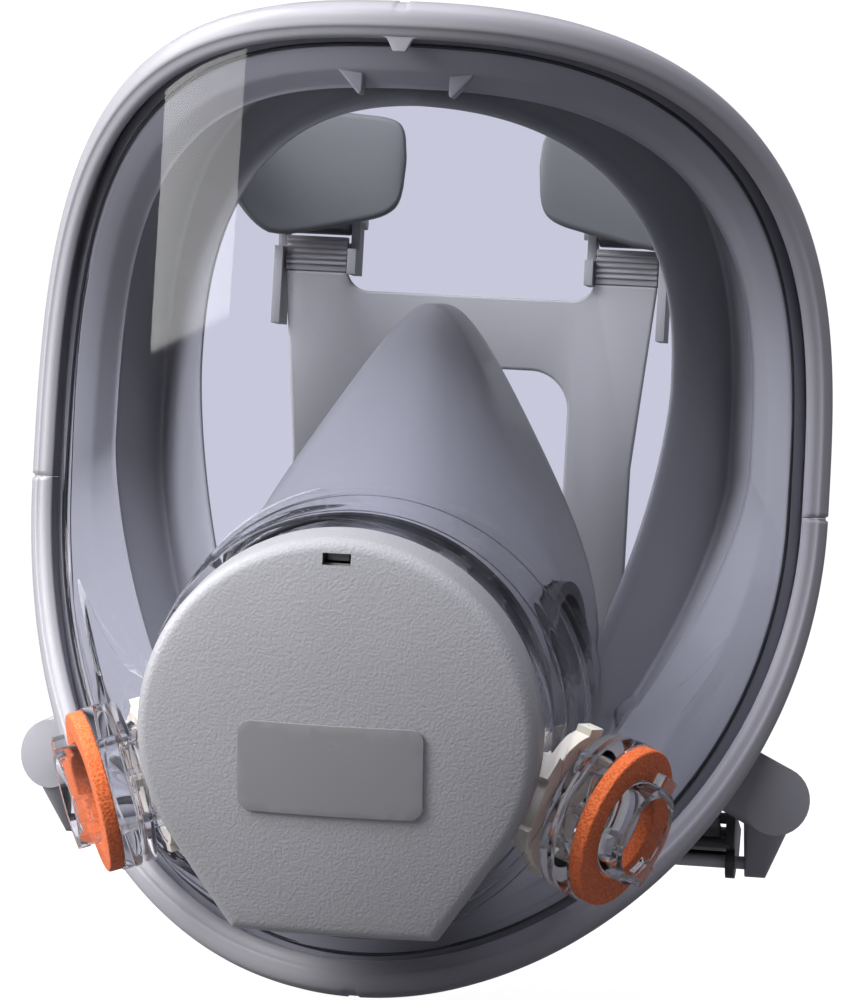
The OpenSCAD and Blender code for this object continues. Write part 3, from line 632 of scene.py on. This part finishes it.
def take_away(obj, cutter, placed):
    """Takes the cutter, placed in the scene, out of obj."""
    cutter.matrix_world = placed
    mod = obj.modifiers.new("cut", "BOOLEAN")
    mod.operation = "DIFFERENCE"
    mod.object = cutter
    mod.solver = "EXACT"
    bpy.context.view_layer.objects.active = obj
    bpy.ops.object.modifier_apply(modifier=mod.name)
    bpy.data.objects.remove(cutter, do_unlink=True)


def cut_block(obj, placed, centre, size):
    """Cuts a block out of obj, its centre and size given in the axes of the matrix placed."""
    bpy.ops.mesh.primitive_cube_add(size=1.0)
    scale = Matrix.Diagonal(Vector([v * MM for v in size])).to_4x4()
    take_away(obj, bpy.context.object, placed @ Matrix.Translation(Vector(centre) * MM) @ scale)


# Rings of the seal, each a rounded oval in x and z: its middle's height, half width, rise, drop and the
# two powers that shape it, then its depth at the middle, how far back its sides run, and that curve's power.
# The wall's crisp front edge, SEAL_FRONT, is a little lower at the brow than the wall behind it.
SEAL_WALL = (10, 80, 93, 112, 3.1, 1.5, -62, 62, 2)
SEAL_FRONT = (10, 80, 86, 112, 3.1, 1.5, -62, 62, 2)
SEAL_FOLD = (10, 73, 94, 114, 3.1, 1.5, -36, 58, 2)
SEAL_FACE = (30, 59, 62.8, 122, 2.5, 1.6, -47, 47, 1.3)
# The seal's section, from the front edge round to the outside of the wall: ring, growth and shift back
SEAL_PATH = (
    (SEAL_FRONT, -1.2, 0), (SEAL_FRONT, -0.3, 0.9), (SEAL_WALL, 0, 4), (SEAL_FOLD, 0, -2),
    (SEAL_FOLD, -1, 0), (SEAL_FACE, 3.5, -0.4), (SEAL_FACE, 2, -1.0), (SEAL_FACE, 0.2, -0.9),
    (SEAL_FACE, -0.5, 0.4), (SEAL_FACE, 0, 2), (SEAL_FOLD, 0, 3), (SEAL_FOLD, 3, 0), (SEAL_WALL, 3, 0))
SEAL_ROUND, SEAL_CROWN = 1.1, 1.3
# How far back the seal's rim starts and ends inside the frame's channel
CHANNEL_FRONT, CHANNEL_BACK = 1.6, 4.2
# Where the seal leaves the channel, inward and back, and the shelf it rises to, as growth and shift back
SEAL_RIM, SEAL_SHELF, SEAL_OUTER_RIM = (10, 1.8), (-0.3, -0.6), 9.3
# A black strip along the inside of the frame, just behind the lens, is painted shade for the shadowed gap
# there: the corners of its section, inward and back
SHADE_STRIP = ((9.0, 1.42), (9.9, 1.42), (9.9, 1.75), (9.0, 1.75))
# The small fins at the brow: outline in x and z, how far back they start, and thickness
BROW_FIN = ((10.2, 98.2), (16.4, 98.8), (11.0, 92.8), (10.2, 93.4))
BROW_FIN_Y, BROW_FIN_T, BROW_FIN_EDGE = -66.6, 4.5, 0.5


def seal_ring(a, shape, grow, back):
    mid_z, w, rise, drop, rise_power, drop_power, mid_y, wrap, wrap_power = shape
    x, z = oval(a, mid_z, w + grow, rise + grow, drop + grow, rise_power, drop_power)
    return np.stack([x, mid_y + wrap * np.abs(x / w) ** wrap_power + back, z], axis=-1)


def make_seal():
    """The face seal, a black strip of painted shade along the lens's edge, and the two fins at its brow."""
    a = np.linspace(0, 2 * math.pi, 360, endpoint=False)

    def by_frame(inward, back):
        return clamp(a, np.full_like(a, inward), np.full_like(a, back))

    rim, shelf = by_frame(*SEAL_RIM), seal_ring(a, SEAL_FRONT, *SEAL_SHELF)
    lift = unit(np.cross(shelf - rim, np.roll(rim, -1, 0) - rim))
    rings = [by_frame(LENS_INSET, CHANNEL_FRONT), rim, (rim + shelf) / 2 + lift * SEAL_CROWN, shelf]
    rings += [seal_ring(a, *row) for row in SEAL_PATH]
    rings += [by_frame(SEAL_OUTER_RIM, CHANNEL_BACK), by_frame(LENS_INSET, CHANNEL_BACK)]
    seal = loft("seal_moulding", round_sections(np.stack(rings, axis=1), SEAL_ROUND))
    finish_piece(seal, MATS["seal"], "mask", "face_seal")
    # The black strip is painted shade where the lens edge meets the seal
    line = loft("lens_edge_shade_strip", np.stack([by_frame(*corner) for corner in SHADE_STRIP], axis=1))
    finish_piece(line, MATS["gasket"], "mask")
    for side, s in SIDES:
        outline = BROW_FIN if s > 0 else BROW_FIN[::-1]
        fin = extrude_outline("brow_fin_" + side, [(s * x, z) for x, z in outline], BROW_FIN_T,
                              lambda x, y, z: (x, BROW_FIN_Y + y, z), BROW_FIN_EDGE)
        finish_piece(fin, MATS["seal"], "mask")


CUP_HALF_W, CUP_TIP_Z, CUP_FRONT_R, CUP_BACK, CUP_T, CUP_SLEEVE = 45.5, 47.3, 37.5, 38.0, 2.6, 6.0
CUP_MID_Z, CUP_LOW = -30.0, 48.0
# Half width of the rim below its tip: its final slope, the length of its blunt tip, and how squarely it fills
CUP_SLOPE, CUP_BLUNT, CUP_POWER = 0.56, 27.8, 8
CUP_RIM_Y, CUP_RIM_LEAN, CUP_TIP_EASE, CUP_BELLY = -12.6, 0.294, 10, 1.2
CUP_LIP_BACK, CUP_LIP_FLARE, CUP_LIP_SPREAD, CUP_LIP_EDGE = 16.0, 3.2, 0.8, 0.4
CUP_START, CUP_COLUMNS, CUP_ROWS, CUP_LIP_ROWS = 0.003, 300, 50, 8
NOSE_VALVE_POS = np.array([38.7, -47.0, -31.0])
NOSE_VALVE_TURN = math.radians(-13)
NOSE_VALVE_OUT = np.array([math.cos(NOSE_VALVE_TURN), math.sin(NOSE_VALVE_TURN), 0.0])
NOSE_HOLE_R, NOSE_CUT_LENGTH = 11.7, 20.0


def cup_w(u):
    """Half width of the cup's rim at a distance u below its tip."""
    w = CUP_SLOPE * np.sqrt(u * u + CUP_BLUNT * u)
    return w / (1 + (w / CUP_HALF_W) ** CUP_POWER) ** (1 / CUP_POWER)


def cup_rim(a, inset):
    tall, c, sn = CUP_TIP_Z - inset - CUP_MID_Z, np.cos(a), np.sin(a)
    x = np.where(c >= 0, np.sign(sn) * cup_w(np.maximum(0, tall * (1 - c))), cup_w(tall) * sn)
    z = CUP_MID_Z + np.where(c >= 0, tall * c, (CUP_LOW - inset) * c)
    x = x - np.sign(x) * np.minimum(np.abs(x), inset) * np.minimum(1, np.abs(x) / CUP_TIP_EASE)
    return np.stack([x, CUP_RIM_Y - CUP_RIM_LEAN * (CUP_TIP_Z - z), z], axis=-1)


def cup_front(a, inset, back):
    """The round front end of the cup, which sits on the centre adapter."""
    r = CUP_FRONT_R - inset
    return (COVER_POS - COVER_OUT * back + np.outer(r * np.sin(a), [1.0, 0, 0])
            + np.outer(r * np.cos(a), COVER_UP))


def cup_point(a, f, inset):
    """Points of the cup's wall, f of the way from the rim to the front end."""
    p = cup_rim(a, inset) * (1 - f) + cup_front(a, inset, CUP_BACK) * f
    out = np.stack([np.sin(a), np.zeros_like(a), np.cos(a)], axis=-1)
    return p + out * CUP_BELLY * math.sin(2 * math.pi * f)


def cup_lip(a, t, inset):
    """The cup's soft lip, which runs on back from the rim and flares a little."""
    flare = np.sign(np.sin(a)) * np.sqrt(np.abs(np.sin(a))) * CUP_LIP_FLARE
    step = np.stack([flare, np.full_like(a, CUP_LIP_BACK), CUP_LIP_SPREAD * np.cos(a)], axis=-1)
    return cup_rim(a, inset) + t * step


def make_nose_cup():
    """The nose cup with its lip, which thins towards its edge, and a hole for each valve seat."""
    a = np.linspace(0, 2 * math.pi, CUP_COLUMNS, endpoint=False) + CUP_START
    skins = []
    for inset in (0, CUP_T):
        skin = [cup_lip(a, 1 - i / CUP_LIP_ROWS, min(inset, CUP_T * (CUP_LIP_EDGE + i / 3)))
                for i in range(CUP_LIP_ROWS)]
        skin += [cup_point(a, i / CUP_ROWS, inset) for i in range(CUP_ROWS + 1)]
        skins.append(skin + [cup_front(a, inset, CUP_BACK - CUP_SLEEVE)])
    cup = loft("nose_cup_moulding", np.stack(skins[0] + skins[1][::-1], axis=1))
    for _, s in SIDES:
        cut_round(cup, NOSE_VALVE_POS * [s, 1, 1], NOSE_VALVE_OUT * [s, 1, 1], NOSE_HOLE_R,
                  NOSE_CUT_LENGTH)
    finish_piece(cup, MATS["cup"], "mask", "nose_cup")


# The cover's outline is a circle with two straight sides down to a flat foot, here one corner in x and z
COVER_R, COVER_FOOT, COVER_ARC_STEPS, COVER_SPACING = 45.7, (23.7, 47.0), 150, 2.0
COVER_DOME, COVER_DOME_R, COVER_WALL, COVER_SHARP = 5.5, 190.0, 2.2, 40
# The rounded edge of the cover: where it starts, its radius, and how far in the face begins
EDGE_START, EDGE_R, FACE_INSET, EDGE_STEPS = 0.15, 2.8, 4.8, 7
FACE_ROWS = (0.03, 0.2, 0.4, 0.6, 0.8, 0.97)
# The cover's side wall, down the outside and up the inside: inset and height
COVER_SIDE = ((0.15, -6.0), (0.15, -12.7), (0.5, -13.0), (2.2, -13.0), (2.4, -12.0), (2.4, -6.0))
INNER_EDGE_INSET, INNER_EDGE_DROP = 3.2, 0.6
# Windows through the cover, in its own axes: centre and size
LATCH_WINDOW = (0.0, 41.2, 1.0), (6.4, 2.6, 12.0)
FOOT_WINDOW = (0.0, -44.5, -10.0), (35.4, 7.0, 9.0)


def make_cover():
    """The front cover: a domed, softly rounded shell with a latch window in its top edge."""
    foot = np.array(COVER_FOOT)
    lean = math.atan2(foot[1], foot[0]) - math.acos(COVER_R / np.linalg.norm(foot))
    arc = np.linspace(-lean, math.pi + lean, COVER_ARC_STEPS)
    ring = np.concatenate([[[-foot[0], -foot[1]], [foot[0], -foot[1]]],
                           COVER_R * np.stack([np.cos(arc), np.sin(arc)], 1)])
    dense = []
    for p, q in zip(ring, np.roll(ring, -1, axis=0)):
        count = max(1, int(np.linalg.norm(q - p) / COVER_SPACING))
        dense += [p + (q - p) * i / count for i in range(count)]
    ring = corner_cut(dense)
    along = unit(np.roll(ring, -1, axis=0) - np.roll(ring, 1, axis=0))
    inward = np.stack([-along[:, 1], along[:, 0]], axis=1)

    def place(p, h):
        flat = COVER_POS + np.outer(p[:, 0], [1.0, 0, 0]) + np.outer(p[:, 1], COVER_UP)
        return flat + np.outer(h, COVER_OUT)

    def dome(p, thick):
        return COVER_DOME - COVER_DOME_R + np.sqrt((COVER_DOME_R - thick) ** 2 - (p ** 2).sum(1))

    def face(f, thick):
        p = (ring + inward * FACE_INSET) * f
        return place(p, dome(p, thick))

    def rim(inset, drop, thick=0.0):
        p = ring + inward * inset
        return place(p, dome(p, thick) - drop)

    turns = [math.pi / 2 * i / EDGE_STEPS for i in range(EDGE_STEPS + 1)]
    rows = [face(f, 0.0) for f in FACE_ROWS]
    rows += [rim(EDGE_START + EDGE_R * (1 - math.sin(t)), EDGE_R * (1 - math.cos(t))) for t in turns]
    rows += [place(ring + inward * inset, np.full(len(ring), h)) for inset, h in COVER_SIDE]
    rows += [rim(INNER_EDGE_INSET, INNER_EDGE_DROP, COVER_WALL)]
    rows += [face(f, COVER_WALL) for f in FACE_ROWS[::-1]]
    cover = loft("cover_shell", rows, closed=False)
    for centre, size in (LATCH_WINDOW, FOOT_WINDOW):
        cut_block(cover, cover_matrix(), centre, size)
    cover.data.shade_smooth()
    cover.data.set_sharp_from_angle(angle=math.radians(COVER_SHARP))
    finish_piece(cover, MATS["cover"], "cover", "front_cover")


def cover_matrix():
    """The cover's own axes: across, up and out from its centre."""
    return Matrix((
        (1, COVER_UP[0], COVER_OUT[0], COVER_POS[0] * MM),
        (0, COVER_UP[1], COVER_OUT[1], COVER_POS[1] * MM),
        (0, COVER_UP[2], COVER_OUT[2], COVER_POS[2] * MM),
        (0, 0, 0, 1)))


# CAD nodes whose looks are a copy with rounded edges: node, radius, look and body
COPIES = (
    ("cover_badge", 0.35, "badge", "cover"), ("center_adapter", 0.4, "adapter", "mask"),
    ("harness_yoke", 0.8, "harness", "harness"))
PAIRED_COPIES = (
    ("strap_tab_lower", 1.3, "frame", "mask"),
    ("buckle_upper", 0.3, "harness", "harness"), ("buckle_lower", 0.3, "buckle", "mask"),
    ("upper_strap", 0.3, "harness", "harness"), ("lower_strap", 0.7, "strap", "harness"),
    ("bayonet", 0.3, "port", "mask"), ("port_gasket", 0.5, "orange", "mask"),
    ("inner_ring", 0.3, "cream", "mask"), ("nose_valve_seat", 0.25, "seat", "mask"))


def make_copies():
    for copy in COPIES:
        rounded_copy(*copy)
    for base, width, look, body in PAIRED_COPIES:
        for side, _ in SIDES:
            rounded_copy(base + "_" + side, width, look, body)


# One row per station along an upper tab: x, y, which way its thickness goes in x and y, lowest z, highest z
TAB_ROWS = (
    (66.3, -6, 1, -0.3, 77, 83), (67, 3, 1, -0.1, 75, 88), (69, 13, 1, 0, 73.5, 92),
    (69.5, 22, 1, 0.1, 75, 95), (68, 32, 0.9, 0.43, 79, 98), (61, 40, 0.6, 0.8, 76, 99),
    (56, 42.6, 0.3, 0.95, 68, 99), (50, 44.2, 0.1, 1, 65, 99), (30, 43, 0, 1, 69.5, 97.6),
    (22, 42.4, 0, 1, 71.5, 97), (18.3, 42.2, 0, 1, 75, 95), (17.6, 42.1, 0, 1, 84, 88))
TAB_T, TAB_ROUND = 4.0, 1.6
# The knuckle round a buckle's pin: the pin in y and z, the radius, its root, and its span in x
PIN_Y, PIN_Z, KNUCKLE_R, KNUCKLE_EDGE = 55.5, 70, 3.2, 0.5
KNUCKLE_ROOT = ((46.0, 69.0), (46.0, 73.0))
KNUCKLE_X, KNUCKLE_W = 32.5, 16.0
KNUCKLE_TURNS = range(150, -151, -15)


def make_upper_tabs():
    """Each upper tab: an ear that curves back from the seal into a paddle, and the buckle's knuckle."""
    rows = corner_cut(TAB_ROWS, closed=False)
    turns = [math.radians(t) for t in KNUCKLE_TURNS]
    knuckle = list(KNUCKLE_ROOT)
    knuckle += [(PIN_Y + KNUCKLE_R * math.cos(t), PIN_Z + KNUCKLE_R * math.sin(t)) for t in turns]
    for side, s in SIDES:
        sections = [[(s * (x + ax * t), y + ay * t, z)
                     for t, z in ((0, low), (TAB_T, low), (TAB_T, high), (0, high))]
                    for x, y, ax, ay, low, high in rows]
        node = "strap_tab_upper_" + side
        ear = loft(node + "_ear", round_sections(sections, TAB_ROUND), closed=False)
        # The upper tabs and knuckles take the darker tab rubber, which is painted shade
        finish_piece(ear, MATS["tab"], "mask", node)
        hinge = extrude_outline(node + "_knuckle", knuckle, KNUCKLE_W,
                                lambda u, d, w: (s * (KNUCKLE_X + d), u, w), KNUCKLE_EDGE)
        finish_piece(hinge, MATS["tab"], "mask", node)


add_camera()
add_floor(cad_box[0][2] - FLOOR_GAP)
add_studio()
dress_cad_nodes()
make_frame()
make_lens()
make_seal()
make_nose_cup()
make_cover()
make_upper_tabs()
make_copies()
